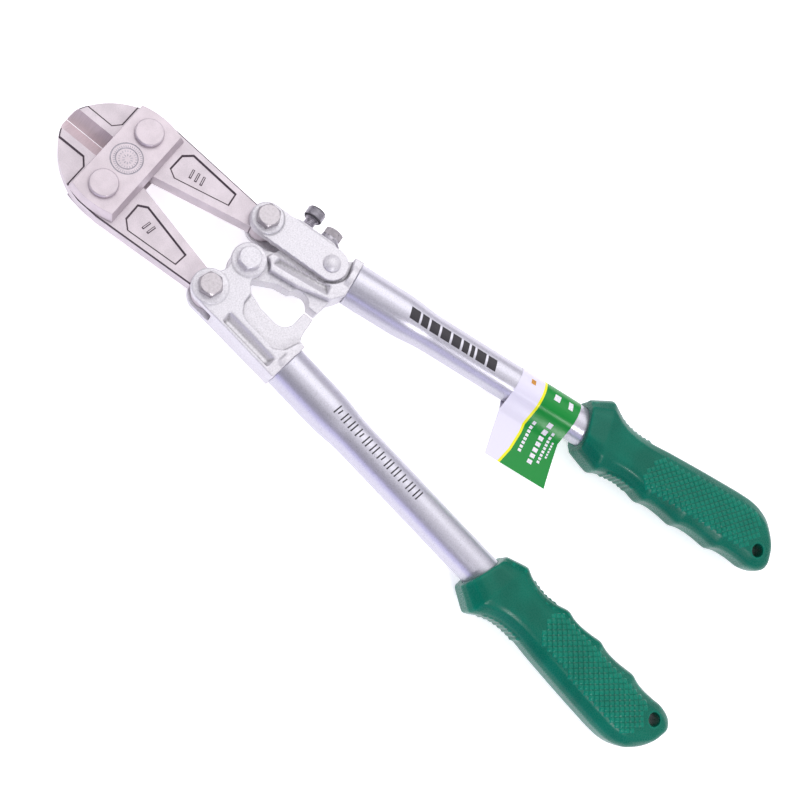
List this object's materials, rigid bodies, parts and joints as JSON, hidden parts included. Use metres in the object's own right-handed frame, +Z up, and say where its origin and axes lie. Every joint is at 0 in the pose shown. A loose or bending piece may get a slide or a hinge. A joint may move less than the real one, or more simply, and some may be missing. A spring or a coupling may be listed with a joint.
{
  "type": "bolt cutters",
  "caption": "Compound-action bolt cutters lying flat: steel jaws with straps, forged heads with an adjusting link, tube handles with moulded finger grips.",
  "frame": {"origin": "middle of the underside of the whole tool, on the surface it lies on", "axes": "+Y towards the nose of the jaws, +X towards the handle with the adjusting link, +Z up, square to the jaw faces"},
  "size_m": [0.1272, 0.3553, 0.0267],
  "materials": {
    "jaw_steel": "forged tool steel, ground on the bevels",
    "strap_steel": "pressed steel, satin",
    "head_paint": "pale lilac-grey paint over a forging",
    "tube_paint": "silver paint on drawn steel tube",
    "zinc_steel": "zinc plated fasteners",
    "dark_steel": "blackened screws",
    "grip_plastic": "moulded PVC, satin",
    "label_paper": "printed paper sticker, gloss laminated"
  },
  "bodies": {
    "lower_handle": {"lower_head": "head_paint", "lower_tube": "tube_paint", "lower_grip": "grip_plastic", "tail_bolt_lower": "zinc_steel", "tail_nut_lower": "zinc_steel", "centre_bolt": "zinc_steel", "centre_nut": "zinc_steel"},
    "upper_handle": {"upper_head": "head_paint", "upper_tube": "tube_paint", "upper_grip": "grip_plastic", "link_rivet": "head_paint", "label_flag": "label_paper"},
    "adjusting_link": {"adjusting_link": "head_paint", "tail_bolt_upper": "zinc_steel", "tail_nut_upper": "zinc_steel"},
    "push_screw": {"push_screw": "dark_steel"},
    "pull_bolt": {"pull_bolt": "zinc_steel", "pull_washer": "zinc_steel", "pull_spring_washer": "zinc_steel"},
    "jaw_lower": {"jaw_lower": "jaw_steel"},
    "jaw_upper": {"jaw_upper": "jaw_steel"},
    "straps": {"strap_front": "strap_steel", "strap_back": "strap_steel", "jaw_bolt_lower": "strap_steel", "jaw_bolt_upper": "strap_steel", "jaw_nut_lower": "zinc_steel", "jaw_nut_upper": "zinc_steel"}
  },
  "joints": [
    {"name": "handles_open", "type": "hinge", "parent": "lower_handle", "child": "upper_handle", "pos_m": [0, 0.085, 0.0133], "axis": [0, 0, 1], "range_deg": [0, 70]},
    {"name": "lower_jaw_turn", "type": "hinge", "parent": "lower_handle", "child": "jaw_lower", "pos_m": [-0.0191, 0.0902, 0.0133], "axis": [0, 0, 1], "range_deg": [0, 42]},
    {"name": "upper_jaw_turn", "type": "hinge", "parent": "adjusting_link", "child": "jaw_upper", "pos_m": [0.0191, 0.0902, 0.0133], "axis": [0, 0, 1], "range_deg": [-42, 0]},
    {"name": "strap_turn", "type": "hinge", "parent": "jaw_lower", "child": "straps", "pos_m": [-0.0143, 0.1478, 0.0133], "axis": [0, 0, 1], "range_deg": [-7, 0]},
    {"name": "link_adjust", "type": "hinge", "parent": "upper_handle", "child": "adjusting_link", "pos_m": [0.0217, 0.0579, 0.0133], "axis": [0, 0, 1], "range_deg": [-0.4, 0]},
    {"name": "push_screw_turn", "type": "hinge", "parent": "adjusting_link", "child": "push_screw", "pos_m": [0.02032, 0.07505, 0.0133], "axis": [0.9968, 0.0802, 0], "range_deg": [-180, 180]},
    {"name": "pull_bolt_turn", "type": "hinge", "parent": "upper_handle", "child": "pull_bolt", "pos_m": [0.0212, 0.06408, 0.0133], "axis": [0.9968, 0.0802, 0], "range_deg": [-180, 180]}
  ],
  "couplings": [
    {"joint": "lower_jaw_turn", "follows": "handles_open", "ratio": 0.5825},
    {"joint": "upper_jaw_turn", "follows": "handles_open", "ratio": -0.5825},
    {"joint": "strap_turn", "follows": "handles_open", "ratio": -0.0825}
  ]
}
